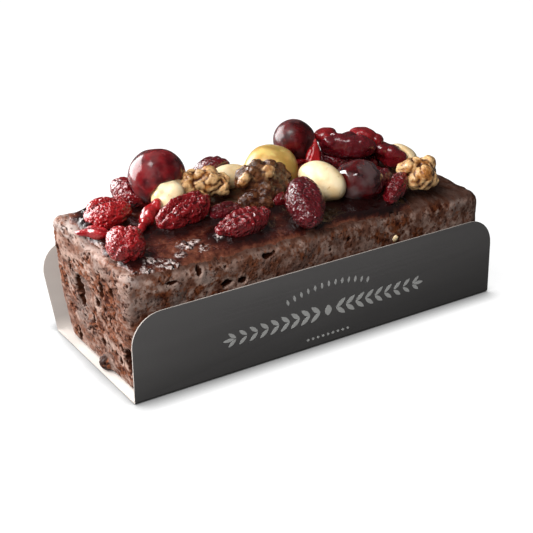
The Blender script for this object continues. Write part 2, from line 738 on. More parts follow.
def walnut_material(settings):
    material, tree, shader = new_material(
        "walnut",
        Subsurface_Weight=0.10,
        Subsurface_Radius=(1.0, 0.5, 0.25),
        Subsurface_Scale=0.0012,
        Coat_Roughness=0.10,
        Coat_IOR=1.5,
        IOR=1.6,
    )
    height = sums(tree, "ADD", mark(tree, "rise"), patches(tree, 4.0, 0.3, 0.7, 3.0))
    height = sums(tree, "MULTIPLY", height, 0.5)
    skin = add_ramp(tree, height, ((0.36, settings.honey), (0.64, settings.pale)))
    veins = patches(tree, 1.3, 0.55, 0.66, 4.0, 5.0)
    colour = mixed(tree, sums(tree, "MULTIPLY", veins, 0.55), skin, settings.brown)
    groove = add_ramp(tree, mark(tree, "rise"), ((0.34, 1.0), (0.60, 0.0)))
    colour = mixed(tree, groove, colour, settings.brown)
    sauce = mixed(tree, patches(tree, 1.7, 0.42, 0.62, 4.0, 11.0), settings.dark, settings.soaked)
    colour = mixed(tree, mark(tree, "soaked"), colour, sauce)
    tree.links.new(colour, shader.inputs["Base Color"])
    film = patches(tree, 2.4, 0.40, 0.66, 3.0, 27.0)
    tree.links.new(add_ramp(tree, film, ((0.0, 0.12), (1.0, 0.45))), shader.inputs["Roughness"])
    tree.links.new(add_ramp(tree, film, ((0.0, 0.35), (1.0, 0.05))), shader.inputs["Coat Weight"])
    normal = bumped(tree, patches(tree, 1.3, 0.2, 0.8, 4.0, 2.0), 0.30)
    tree.links.new(normal, shader.inputs["Normal"])
    return material


def card_material(name, colour, roughness, fibre, gloss=0.5, fade=None):
    """Coated card with a faint fibre and cloudy gloss; fade lists heights with their lightness."""
    material, tree, shader = new_material(name, IOR=1.5, Specular_IOR_Level=gloss)
    darker = tuple(channel * 0.82 for channel in colour)
    tone = mixed(tree, patches(tree, 20.0, 0.3, 0.7, 2.0, 0.0, (0.2, 1.0, 1.0)), colour, darker)
    if fade:
        place = add_node(tree, "ShaderNodeTexCoord").outputs["Object"]
        height = add_node(tree, "ShaderNodeSeparateXYZ", {"Vector": place}).outputs["Z"]
        top = fade[-1][0]
        stops = [(level / top, light) for level, light in fade]
        share = add_ramp(tree, sums(tree, "DIVIDE", height, top), stops)
        tone = mixed(tree, 1.0, tone, share, "MULTIPLY")
    tree.links.new(tone, shader.inputs["Base Color"])
    rough = add_ramp(
        tree, patches(tree, 22.0, 0.3, 0.7), ((0.0, roughness), (1.0, roughness * 1.25))
    )
    tree.links.new(rough, shader.inputs["Roughness"])
    normal = bumped(tree, patches(tree, 0.5, 0.2, 0.8, 4.0), fibre)
    tree.links.new(normal, shader.inputs["Normal"])
    return material


# ---------------------------------------------------------------- settings


def length(name, default, description):
    return FloatProperty(
        name=name, description=description, default=default, unit="LENGTH", precision=5
    )


def colour(name, default, description):
    return FloatVectorProperty(
        name=name, description=description, default=default, subtype="COLOR", min=0.0, max=1.0
    )


class CardSettings(bpy.types.PropertyGroup):
    """The folded card tray and the printed ornament on its front wall."""

    black: colour("Printed side", (0.150, 0.143, 0.140), "Outside of the card")
    white: colour("Inside", (0.60, 0.55, 0.51), "Unprinted inside of the card")
    edge: colour("Cut edge", (0.42, 0.38, 0.35), "Bare paper where the card is cut")
    print: colour("Ornament", (0.60, 0.60, 0.58), "Light print on the front wall")
    ornament_length: length("Ornament length", 0.094, "Full length of the sprig on the front wall")
    ornament_thickness: length("Print thickness", 0.00005, "How far the print stands proud")


class CrumbSettings(bpy.types.PropertyGroup):
    """The cake itself."""

    cell: length("Mesh cell", 0.00092, "Width of one cell of the crumb's mesh, halved where it is cut")
    pit_size: length("Pit spacing", 0.0042, "Distance between the larger pits")
    raisin_size: length("Raisin spacing", 0.0105, "Distance between raisins at a cut face")
    dark: colour("Dark crumb", (0.040, 0.009, 0.005), "Moist dark crumb")
    middle: colour("Crumb", (0.150, 0.068, 0.045), "Main crumb")
    pale: colour("Pale crumb", (0.360, 0.245, 0.200), "Dry pale crumb")
    crust: colour("Crust", (0.050, 0.019, 0.012), "Baked top where the glaze ends")
    murky: colour("Grey crumb", (0.170, 0.132, 0.116), "Cool dark patches")
    film: colour("Pale film", (0.360, 0.290, 0.262), "Dry film along the upper edge of the cut end")
    toasted: colour("Toasted flecks", (0.165, 0.048, 0.018), "Orange brown flecks")
    specks: colour("Dark specks", (0.030, 0.009, 0.006), "Fine dark specks")
    raisin: colour("Raisin", (0.022, 0.009, 0.007), "Cut raisins in the crumb")
    deep: colour("Hole", (0.026, 0.007, 0.003), "Bottom of pits and holes")


class GlazeSettings(bpy.types.PropertyGroup):
    """The dark glaze over the cake's top."""

    cell: length("Mesh cell", 0.0008, "Width of one cell of the glaze's mesh")
    film: length("Film", 0.00035, "Thickness where it is brushed thin")
    pool: length("Pool", 0.0014, "Extra thickness where it gathers against fruit")
    reach: length("Meniscus reach", 0.0016, "How far from fruit the glaze still climbs")
    stop: length("Bare end", 0.036, "Length of the baked end that is left without glaze")
    thin: colour("Thin glaze", (0.158, 0.050, 0.028), "Where the crumb shows through")
    middle: colour("Glaze", (0.042, 0.008, 0.005), "Brushed glaze")
    sugar: colour("Sugar film", (0.580, 0.480, 0.450), "Crinkled dry film on the glaze")
    rim: colour("Glaze rim", (0.170, 0.068, 0.036), "Outer edge where the glaze runs out")
    thick: colour("Deep glaze", (0.010, 0.0024, 0.0022), "Pooled glaze")


class FruitSettings(bpy.types.PropertyGroup):
    """Dried berries and glace cherries."""

    cell: length("Mesh cell", 0.00036, "Width of one cell of a berry's mesh")
    cherry_cell: length("Cherry mesh cell", 0.00050, "Width of one cell of a cherry's mesh")
    bright: colour("Bright skin", (0.360, 0.008, 0.010), "Brightest berries' ridges")
    dull: colour("Dark skin", (0.060, 0.004, 0.008), "Darkest berries' ridges")
    valley: colour("Wrinkle", (0.050, 0.001, 0.002), "Valleys between wrinkles")
    cherry: colour("Cherry flesh", (0.420, 0.016, 0.022), "Lit flesh of a red cherry")
    cherry_deep: colour("Cherry shade", (0.110, 0.005, 0.009), "Deep flesh of a red cherry")
    golden: colour("Golden cherry", (0.840, 0.580, 0.190), "Lit flesh of the golden cherry")
    golden_deep: colour("Golden shade", (0.560, 0.340, 0.085), "Deep flesh of the golden cherry")
    bloom: colour("Bloom", (0.135, 0.092, 0.092), "Grey veil on a red cherry's skin")


class NutSettings(bpy.types.PropertyGroup):
    """Blanched nuts and walnut halves."""

    cell: length("Mesh cell", 0.00042, "Width of one cell of a nut's mesh")
    lobe: length("Walnut wrinkle", 0.0036, "Width of one wrinkle between walnut knobs")
    cream: colour("Cream", (0.830, 0.680, 0.440), "Blanched nut")
    tan: colour("Tan", (0.700, 0.480, 0.230), "Toasted side of a nut")
    fleck: colour("Nut fleck", (0.560, 0.360, 0.160), "Small toasted flecks")
    toast: colour("Nut underside", (0.560, 0.340, 0.130), "Toasted lower side of a nut")
    pale: colour("Walnut skin", (0.720, 0.440, 0.200), "Pale walnut skin")
    honey: colour("Honeyed skin", (0.380, 0.145, 0.032), "Glazed walnut skin")
    brown: colour("Walnut crease", (0.060, 0.014, 0.004), "Grooves and veins")
    dark: colour("Soaked walnut", (0.034, 0.009, 0.004), "Walnut soaked in glaze")
    soaked: colour("Wet walnut", (0.105, 0.034, 0.012), "Walnut thinly covered with glaze")


class StageSettings(bpy.types.PropertyGroup):
    """Floor, lights and camera."""

    azimuth: FloatProperty(
        name="Azimuth", description="Turn of the view", default=math.radians(-33.2), subtype="ANGLE"
    )
    elevation: FloatProperty(
        name="Elevation", description="Height of the view", default=math.radians(24.6), subtype="ANGLE"
    )
    distance: length("Distance", 0.460, "From the camera to its aim")
    lens: FloatProperty(name="Lens", description="Focal length in mm", default=75.78)
    aim: FloatVectorProperty(
        name="Aim", description="Point that the camera looks at", default=(-0.0048, -0.0045, 0.020)
    )
    floor: colour("Floor", (0.12, 0.12, 0.12), "Plain pale floor")
    floor_glow: FloatProperty(name="Floor glow", description="Light table strength", default=0.95)
    contact: length("Contact shade", 0.009, "How far from the tray the floor is still shaded")
    surround: FloatProperty(name="Surround", description="Strength of the dim room", default=0.07)
    key: FloatProperty(name="Key light", description="Power of the left softbox", default=9.0)
    fill: FloatProperty(name="Fill light", description="Power of the front left softbox", default=3.1)
    top: FloatProperty(name="Top light", description="Power of the overhead softbox", default=2.0)


SETTINGS = {
    "cake_card": CardSettings,
    "cake_crumb": CrumbSettings,
    "cake_glaze": GlazeSettings,
    "cake_fruit": FruitSettings,
    "cake_nuts": NutSettings,
    "cake_stage": StageSettings,
}


# ---------------------------------------------------------------- card tray


def side_of_card(face, front, back, lean):
    """0 for the printed outside, 1 for the bare inside and 2 for the cut edge."""
    middle = face.calc_center_median()
    if middle.y < front + 2 * MM:
        outward = Vector((0, -1, 0))
    elif middle.y > back - 1 * MM:
        outward = Vector((0, math.cos(lean), -math.sin(lean)))
    else:
        outward = Vector((0, 0, -1))
    facing = face.normal.dot(outward)
    if facing > 0.5:
        return 0
    return 1 if facing < -0.5 else 2


class FRUITCAKE_OT_card_tray(bpy.types.Operator):
    """Dress the folded card tray: dark print outside, bare card inside, pale cut edges"""

    bl_idname = "fruitcake.card_tray"
    bl_label = "Card tray"

    def execute(self, context):
        settings = context.scene.cake_card
        bm = merged_copy("card_tray")
        bmesh.ops.dissolve_limit(
            bm, angle_limit=math.radians(0.5), verts=bm.verts, edges=bm.edges
        )
        flat = [vert.co for vert in bm.verts if vert.co.z < 0.1 * MM]
        front = min(place.y for place in flat)
        back = max(place.y for place in flat)
        top = max(bm.verts, key=lambda vert: vert.co.y - vert.co.z * 0.001).co
        lean = math.atan2(top.y - back, top.z)
        for face in bm.faces:
            face.material_index = side_of_card(face, front, back, lean)
        tray = finished(
            "tray",
            bm,
            card_material("card_outside", settings.black, 0.34, 0.010, 0.9, ((0.0, 0.42), (top.z, 1.0))),
            card_material("card_inside", settings.white, 0.6, 0.020, 0.5, ((0.001, 1.0), (0.005, 0.72))),
            card_material("card_edge", settings.edge, 0.8, 0.030),
        )
        tray.data.set_sharp_from_angle(angle=math.radians(30))
        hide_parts("card_tray")
        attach(tray, BODY)
        return {"FINISHED"}


def add_leaf(bm, place, length, width, angle):
    """A pointed leaf in the XZ plane."""
    leaf = bmesh.ops.create_circle(bm, cap_ends=True, segments=14, radius=1.0)["verts"]
    for vert in leaf:
        along = vert.co.x
        taper = (1 - abs(along) ** 1.6) ** 0.75
        vert.co.y = math.copysign(taper * 0.5, vert.co.y) if abs(vert.co.y) > 1e-6 else 0.0
    bmesh.ops.scale(bm, vec=(length / 2, width, 1.0), verts=leaf)
    bmesh.ops.rotate(bm, matrix=Matrix.Rotation(angle, 3, "Z"), verts=leaf)
    bmesh.ops.rotate(bm, matrix=Matrix.Rotation(math.pi / 2, 3, "X"), verts=leaf)
    bmesh.ops.translate(bm, vec=place, verts=leaf)


class FRUITCAKE_OT_ornament(bpy.types.Operator):
    """Print a plain leafy sprig, an arch of small leaves and a short row of dots on the front wall"""

    bl_idname = "fruitcake.ornament"
    bl_label = "Printed ornament"

    def execute(self, context):
        settings = context.scene.cake_card
        low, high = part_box("card_tray")
        front = low.y
        middle = Vector(((low.x + high.x) / 2, 0.0, 14.2 * MM))
        bm = bmesh.new()
        half = settings.ornament_length / 2
        pairs = 9
        for side in (-1, 1):
            for step in range(pairs):
                along = side * (6 * MM + (half - 9 * MM) * step / (pairs - 1))
                size = (5.6 - 1.6 * step / pairs) * MM
                for up in (-1, 1):
                    place = middle + Vector((along, 0, up * 1.55 * MM))
                    add_leaf(bm, place, size, size * 0.36, side * up * math.radians(38))
            tip = middle + Vector((side * (half - 1.5 * MM), 0, 0))
            add_leaf(bm, tip, 5.0 * MM, 1.5 * MM, 0.0)
        add_leaf(bm, middle, 4.6 * MM, 3.4 * MM, math.pi / 2)
        radius = 60 * MM
        for step in range(-6, 7):
            angle = step * math.radians(3.1)
            place = middle + Vector(
                (radius * math.sin(angle), 0, 11.4 * MM - radius * (1 - math.cos(angle)))
            )
            add_leaf(bm, place, 2.6 * MM, 1.2 * MM, math.pi / 2 - angle)
        for step in range(-4, 5):
            place = middle + Vector((step * 2.4 * MM, 0, -10.4 * MM))
            add_leaf(bm, place, 1.3 * MM, 1.1 * MM, 0.0)
        grown = bmesh.ops.extrude_face_region(bm, geom=bm.faces[:])["geom"]
        raised = [item for item in grown if isinstance(item, bmesh.types.BMVert)]
        bmesh.ops.translate(bm, vec=(0, -settings.ornament_thickness, 0), verts=raised)
        bmesh.ops.translate(bm, vec=(0, front, 0), verts=bm.verts)
        for vert in bm.verts:
            vert.co.y += wall_bow(vert.co.x, vert.co.z)
        bmesh.ops.recalc_face_normals(bm, faces=bm.faces)
        ornament = finished(
            "ornament", bm, card_material("card_print", settings.print, 0.45, 0.005)
        )
        ornament.data.set_sharp_from_angle(angle=math.radians(30))
        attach(ornament, BODY)
        return {"FINISHED"}


def wall_bow(x, z):
    """How far the front wall stands back from its foremost line at a place on it."""
    tray = bpy.data.objects["tray"]
    hit, place, _, _ = tray.ray_cast(Vector((x, -1.0, z)), Vector((0, 1, 0)))
    return place.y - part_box("card_tray")[0].y if hit else 0.0


# ---------------------------------------------------------------- cake


def crumb_relief(settings, low, high):
    """The relief function of the crumb between the cake's lowest and highest corners, in mm."""
    pit_size = settings.pit_size / MM
    raisin_size = settings.raisin_size / MM

    def relief(place, normal):
        above = smoothstep(low.z + 0.2, low.z + 2.5, place.z)
        top = smoothstep(0.35, 0.8, normal.z)
        baked = smoothstep(high.x - 30, high.x - 8, place.x)
        long_side = smoothstep(0.3, 0.8, -normal.y)
        cut_end = smoothstep(0.3, 0.8, -normal.x)
        torn = (1 - 0.7 * top) * (1 - 0.85 * baked) * (1 - 0.72 * long_side)
        grain = Vector([axis * share for axis, share in zip(place, GRAIN)])
        move = 0.40 * noise.fractal(place / 7.0, 1.0, 2.0, 3) * (1 - 0.4 * max(top, long_side))
        move += 0.9 * baked * noise.noise(place / 9.0 + Vector((3, 1, 4)))
        move += 0.5 * baked * noise.noise(place / 4.5 + Vector((1, 7, 2)))
        bent = grain + 1.2 * noise.noise_vector(grain / 2.6)
        lumps = min(abs(noise.noise(bent / 3.0)) * 2.4, 1.0)
        grains = min(abs(noise.noise(bent / 1.4 + Vector((5, 5, 5)))) * 2.2, 1.0)
        ragged = noise.noise(grain / 6.0 + Vector((9, 2, 6))) + 0.4 * noise.noise(grain / 2.0)
        loose = smoothstep(0.10, 0.38, ragged)
        for across, up, radius in CRUMBLY_SPOTS:
            away = math.hypot(place.y - across, place.z - up) / radius + 0.9 * ragged
            loose = max(loose, cut_end * (1 - smoothstep(0.6, 1.2, away)))
        for along, up, radius in FRONT_SPOTS:
            away = math.hypot(place.x - along, place.z - up) / radius + 0.9 * ragged
            loose = max(loose, long_side * (1 - smoothstep(0.6, 1.2, away)))
        rough = 0.10 + 0.90 * loose
        move += (0.62 * lumps * rough + 0.42 * grains * rough - 0.45 * loose) * torn
        line = abs(noise.noise((grain + 1.6 * noise.noise_vector(grain / 3.0 + Vector((4, 8, 1)))) / 2.2))
        split = (1 - smoothstep(0.01, 0.11, line)) * smoothstep(0.0, 0.2, noise.noise(grain / 3.6))
        split *= (0.35 + 0.65 * loose) * (1 - top) * (1 - 0.85 * long_side) * (1 - baked)
        move -= 0.55 * split
        near, _, chance = cells(place / pit_size)
        size = 0.10 + 0.30 * chance
        pit = (1 - smoothstep(size * 0.4, size, near)) if chance < 0.45 else 0.0
        near, _, chance = cells(grain / 1.7 + Vector((7, 7, 7)))
        small = (1 - smoothstep(0.12, 0.40, near)) if chance < 0.3 + 0.4 * loose else 0.0
        small *= 0.6 + 0.4 * loose
        hole = 0.0
        if cut_end > 0:
            for spot in CUT_END_HOLES:
                depth, inside = hole_depth(place.y, place.z, spot)
                move -= depth
                hole = max(hole, inside)
        elif long_side > 0:
            for spot in FRONT_HOLES:
                depth, inside = hole_depth(place.x, place.z, spot)
                move -= depth
                hole = max(hole, inside)
        near, _, chance = cells(place / raisin_size + Vector((2.5, 8.1, 3.3)))
        near += 0.07 * noise.noise(place / 2.0)
        raisin = (1 - smoothstep(0.12, 0.21, near)) * cut_end * (chance < 0.2)
        lump = (place - Vector(RAISIN_LUMP[:3])).length / RAISIN_LUMP[3]
        raisin = max(raisin, 1 - smoothstep(1.05, 1.25, lump))
        move += 0.5 * noise.noise(place / 1.3) * (lump < 1.2)
        move += 0.35 * raisin * (0.4 + noise.noise(place / 1.8))
        speck = (1 - 0.85 * baked) * (1 - top) * (1 - 0.55 * long_side)
        move -= (0.95 * pit + 0.42 * small) * speck
        hollow = max(hole, pit * speck, 0.75 * small * speck, 0.8 * split)
        streak = noise.noise(Vector((place.x, place.y / 4.0, place.z / 1.2))) * 0.8
        band = 1 - smoothstep(3.0, 5.5, place.x - low.x + streak)
        film = smoothstep(high.z - 7.0, high.z - 3.0, place.z + 3.0 * streak) * band
        film *= 0.4 + 0.6 * smoothstep(-18.0, 16.0, place.y)
        corner = math.hypot(place.x - low.x - 4.0, place.y - low.y - 3.0, 0.7 * (place.z - high.z + 3.0))
        film = max(film, 1 - smoothstep(1.5, 4.5, corner + streak))
        return (
            move * above,
            hollow,
            raisin * (1 - hollow),
            loose * (1 - 0.85 * baked) * (1 - raisin),
            top * (1 - band),
            film * (1 - hollow) * (1 - 0.6 * loose),
        )

    return relief


class FRUITCAKE_OT_crumb(bpy.types.Operator):
    """Model the cake's torn crumb with its pits, holes and raisins"""

    bl_idname = "fruitcake.crumb"
    bl_label = "Cake crumb"

    def execute(self, context):
        settings = context.scene.cake_crumb
        low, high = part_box("cake")
        bm = merged_copy("cake")
        add_knobs(bm, (RAISIN_LUMP,))
        bm = remeshed(bm, settings.cell)
        relaxed(bm, 6)
        seen = [
            face
            for face in bm.faces
            if face.normal.x < -0.6 or (face.normal.y < -0.6 and face.calc_center_median().z > FINE_ABOVE)
        ]
        edges = list({edge for face in seen for edge in face.edges})
        bmesh.ops.subdivide_edges(bm, edges=edges, cuts=1, use_grid_fill=True)
        pressed(bm, crumb_relief(settings, low / MM, high / MM), CRUMB_MARKS)
        relaxed(bm, 1, 0.25)
        mark_rise(bm, "rise", 10, 0.30)
        crumb = finished("crumb", bm, crumb_material(settings))
        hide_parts("cake")
        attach(crumb, BODY)
        return {"FINISHED"}


# ---------------------------------------------------------------- toppings


def fitted(bm, low, high):
    """Scales the bmesh about its middle to fill a box again."""
    places = [vert.co for vert in bm.verts]
    lowest = Vector([min(place[axis] for place in places) for axis in range(3)])
    highest = Vector([max(place[axis] for place in places) for axis in range(3)])
    share = [(high[axis] - low[axis]) / (highest[axis] - lowest[axis]) for axis in range(3)]
    bmesh.ops.translate(bm, vec=-(lowest + highest) / 2, verts=bm.verts)
    bmesh.ops.scale(bm, vec=share, verts=bm.verts)
    bmesh.ops.translate(bm, vec=(low + high) / 2, verts=bm.verts)


def skin_of(node, cell, rounding):
    """A fine even skin over a topping's solid, its facets rounded off."""
    bm = merged_copy(node)
    bmesh.ops.join_triangles(
        bm, faces=bm.faces, angle_face_threshold=FLAT, angle_shape_threshold=math.radians(60)
    )
    bm = remeshed(through_modifier(bm, "SUBSURF", levels=2, render_levels=2), cell)
    relaxed(bm, rounding)
    fitted(bm, *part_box(node))
    return bm


def mark_rise(bm, name, times, height):
    """Stores 0 where a point lies a height in mm below its surroundings, 1 where it stands above."""
    layer = bm.verts.layers.float.new(name)
    calm = bm.copy()
    relaxed(calm, times)
    bm.normal_update()
    for vert, smooth in zip(bm.verts, calm.verts):
        above = (vert.co - smooth.co).dot(vert.normal) / (height * MM)
        vert[layer] = min(max(0.5 + 0.5 * above, 0.0), 1.0)
    calm.free()


def seed_of(node):
    return Vector((len(node) * 1.37, ord(node[-1]) * 0.61, ord(node[-2]) * 0.43))


def tapered(bm, way, share):
    """Narrows the bmesh one way by a share of its width."""
    way = Vector(way).normalized()
    along = [vert.co.dot(way) for vert in bm.verts]
    start, end = min(along), max(along)
    middle = sum((vert.co for vert in bm.verts), Vector()) / len(bm.verts)
    for vert, reach in zip(bm.verts, along):
        narrow = 1 - share * smoothstep(0.3, 1.0, (reach - start) / (end - start))
        spine = middle + way * (reach - middle.dot(way))
        vert.co = spine + (vert.co - spine) * narrow


def berry_relief(bm, node):
    """Soft folds drawn out along the berry with sharp creases between, and a fold along its upper side."""
    _, width, depth, fold = BERRIES[node]
    middle, axes = own_axes(bm)
    seed = seed_of(node)
    owns = [axes @ (vert.co / MM - middle) for vert in bm.verts]
    reach = max(own.x for own in owns)
    breadth = max(own.y for own in owns)
    ribs = RIBS.get(node, 0.0)
    rim = RIMS.get(node)
    plump = width > SMOOTH
    fine = 0.03 if plump else 0.7 * depth
    lumps = min(1.3, max(0.2, 0.25 * (reach - 5.5))) if plump else 0.5

    def relief(place, normal):
        own = axes @ (place - middle)
        bent = Vector((own.x * 0.55, own.y, own.z)) / width + seed
        bent += 0.55 * noise.noise_vector(bent * 0.6)
        folds = min(abs(noise.noise(bent)) * 2.2, 1.0)
        small = Vector((own.x * 0.65, own.y, own.z)) / 1.7 + seed
        small += 0.4 * noise.noise_vector(small * 0.5)
        near, second, _ = cells(small)
        web = math.exp(-(((second - near) / 0.22) ** 2))
        move = depth * (1.8 * folds - 0.8) + fine * (web - 0.35)
        move += lumps * noise.noise(own / (4.6 if plump else 6.0) + seed)
        upper = smoothstep(0.1, 0.7, axes.row[2].dot(normal))
        side = (own.y + 1.0 * noise.noise(Vector((own.x / 5, 0, 0)) + seed)) / 1.25
        crease = math.exp(-(side**2)) * upper * (1 - min(abs(own.x) / reach, 1.0) ** 3)
        move -= fold * crease
        move += 0.3 * fold * math.exp(-((abs(side) - 2.0) ** 2)) * upper
        move += ribs * math.sin(own.x * 2.1 + 0.8 * noise.noise(own / 3)) * upper
        if rim:
            beside = own.y / breadth - rim + 0.06 * noise.noise(own / 3)
            move += 0.45 * math.exp(-((beside / 0.10) ** 2)) - 0.5 * math.exp(-(((beside - 0.28) / 0.14) ** 2))
        return (move,)

    return relief


class FRUITCAKE_OT_berries(bpy.types.Operator):
    """Model the dried berries with their wrinkles and folds"""

    bl_idname = "fruitcake.berries"
    bl_label = "Dried berries"

    def execute(self, context):
        settings = context.scene.cake_fruit
        materials = {}
        for node, (brightness, width, _, _) in BERRIES.items():
            tone = round(brightness * 8) / 8
            kind = f"{'plump' if width > SMOOTH else 'wrinkled'}_berry_{round(tone * 100)}"
            if kind not in materials:
                ridge = Vector(settings.dull).lerp(Vector(settings.bright), tone)
                valley = Vector(settings.valley) * (0.5 + tone)
                finish = (0.04, 0.14) if width > SMOOTH else (0.34 + 0.3 * tone, 0.05)
                materials[kind] = berry_material(kind, ridge, valley, (ridge + valley) * 0.4, *finish)
            bm = skin_of(node, settings.cell, 3)
            if node in BERRY_LUMPS:
                add_knobs(bm, BERRY_LUMPS[node])
                bm = remeshed(bm, settings.cell)
                relaxed(bm, 8)
            if node in TAPERS:
                tapered(bm, *TAPERS[node])
            pressed(bm, berry_relief(bm, node))
            relaxed(bm, 1, 0.4)
            mark_rise(bm, "rise", 10, 0.28)
            berry = finished(node + "_skin", bm, materials[kind])
            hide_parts(node)
            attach(berry, BODY)
        return {"FINISHED"}


def cherry_relief(node):
    """Shallow dents over a cherry, deeper where its skin has shrunk."""
    seed = seed_of(node)
    dent = CHERRIES[node][4] if node in CHERRIES else 0.20

    def relief(place, normal):
        return (0.22 + dent * noise.noise(place / 6.5 + seed) + 0.3 * dent * noise.noise(place / 2.8 + seed),)

    return relief


class FRUITCAKE_OT_cherries(bpy.types.Operator):
    """Model the glace cherries, three red and one golden"""

    bl_idname = "fruitcake.cherries"
    bl_label = "Glace cherries"

    def execute(self, context):
        settings = context.scene.cake_fruit
        flesh = {
            GOLDEN_CHERRY: cherry_material(
                "golden_cherry_flesh", settings.golden, settings.golden_deep, 0.40, 0.24, 0.0, settings.bloom, 0.35
            )
        }
        for node, (lit, gloss, blur, veil, _) in CHERRIES.items():
            shades = [Vector(shade) * lit for shade in (settings.cherry, settings.cherry_deep)]
            flesh[node] = cherry_material(
                node + "_inside", *shades, gloss, blur, veil, settings.bloom, 0.30
            )
        for node in flesh:
            bm = skin_of(node, settings.cherry_cell, 12)
            if node in SWOLLEN:
                about = Matrix.Translation(-sum(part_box(node), Vector()) / 2)
                bmesh.ops.scale(bm, vec=SWOLLEN[node], space=about, verts=bm.verts)
            pressed(bm, cherry_relief(node))
            cherry = finished(node + "_flesh", bm, flesh[node])
            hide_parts(node)
            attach(cherry, BODY)
        return {"FINISHED"}


def nut_relief(node):
    """A nearly smooth kernel, marked where its skin is toasted."""
    seed = seed_of(node)

    def relief(place, normal):
        move = 0.15 + 0.30 * noise.noise(place / 6.0 + seed) + 0.04 * noise.noise(place / 1.8)
        lower = smoothstep(0.35, -0.75, normal.z + 0.3 * noise.noise(place / 3.0 + seed))
        return move, lower

    return relief


class FRUITCAKE_OT_nuts(bpy.types.Operator):
    """Model the blanched nuts"""

    bl_idname = "fruitcake.nuts"
    bl_label = "Blanched nuts"

    def execute(self, context):
        settings = context.scene.cake_nuts
        kernel = nut_material(settings)
        for node in NUTS:
            bm = skin_of(node, settings.cell, 24)
            if node in NUT_LOBES:
                add_knobs(bm, NUT_LOBES[node])
                bm = remeshed(bm, settings.cell)
                relaxed(bm, 8)
            pressed(bm, nut_relief(node), ("toasted",))
            nut = finished(node + "_kernel", bm, kernel)
            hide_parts(node)
            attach(nut, BODY)
        bm = bmesh.new()
        add_knobs(bm, (NUT_CHIP,))
        pressed(bm, lambda place, normal: (0.5 * noise.noise(place / 1.1), 0.3), ("toasted",))
        chip = finished("nut_chip", bm, kernel)
        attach(chip, BODY)
        return {"FINISHED"}


def walnut_relief(settings, node):
    """Winding wrinkles, marked where the glaze has soaked in."""
    seed = seed_of(node)
    soaking, level, dry = SOAKED[node]
    lobe = settings.lobe / MM

    def relief(place, normal):
        bent = place / lobe + seed
        bent += 0.5 * noise.noise_vector(place / (lobe * 1.3) + seed)
        fold = min(abs(noise.noise(bent)) * 2.0, 1.0)
        knob = min(abs(noise.noise(bent * 2.3 + seed)) * 2.0, 1.0)
        move = 0.62 * fold + 0.30 * knob - 0.30
        stain = 0.2 + soaking + noise.noise(place / 5.0 + seed)
        wet = soaking * smoothstep(0.1, 0.5, stain)
        wet = max(wet, smoothstep(level + 1.5, level - 1.5, place.z + noise.noise(place / 2.0)))
        for x, y, z, radius in dry:
            wet *= 0.25 + 0.75 * smoothstep(0.60, 1.10, (place - Vector((x, y, z))).length / radius)
        return move, wet

    return relief


class FRUITCAKE_OT_walnuts(bpy.types.Operator):
    """Model the walnut halves with their lobes and creases"""

    bl_idname = "fruitcake.walnuts"
    bl_label = "Walnuts"

    def execute(self, context):
        settings = context.scene.cake_nuts
        kernel = walnut_material(settings)
        for node in WALNUTS:
            bm = skin_of(node, settings.cell, 2)
            middle = sum((vert.co for vert in bm.verts), Vector()) / len(bm.verts)
            about = Matrix.Translation(-middle)
            bmesh.ops.scale(bm, vec=(0.84, 0.74, 0.80), space=about, verts=bm.verts)
            add_knobs(bm, WALNUT_KNOBS[node])
            bm = remeshed(bm, settings.cell)
            relaxed(bm, 6)
            pressed(bm, walnut_relief(settings, node), ("soaked",))
            relaxed(bm, 2, 0.4)
            mark_rise(bm, "rise", 16, 0.40)
            walnut = finished(node + "_kernel", bm, kernel)
            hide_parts(node)
            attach(walnut, BODY)
        return {"FINISHED"}


# ---------------------------------------------------------------- glaze


def tree_of(names):
    """A search tree over several finished pieces."""
    joined = bmesh.new()
    for name in names:
        joined.from_mesh(bpy.data.objects[name].data)
    found = BVHTree.FromBMesh(joined)
    joined.free()
    return found


def glaze_margin(x, y, low, high, stop):
    """How far a place is inside the glazed area, in millimetres."""
    wander = 1.5 * noise.noise(Vector((x / 9.0, y / 9.0, 4.0)))
    wander += 0.7 * noise.noise(Vector((x / 3.2, y / 3.2, 9.0)))
    from_front = y - (low.y + 2.6) + wander
    from_back = (high.y - 2.8) - y + wander
    from_left = x - (low.x + 3.4)
    from_stop = (high.x - stop) - x + wander * 2.2 + 0.12 * (y - low.y)
    return min(from_front, from_back, from_left + 1.6 * wander, from_stop)


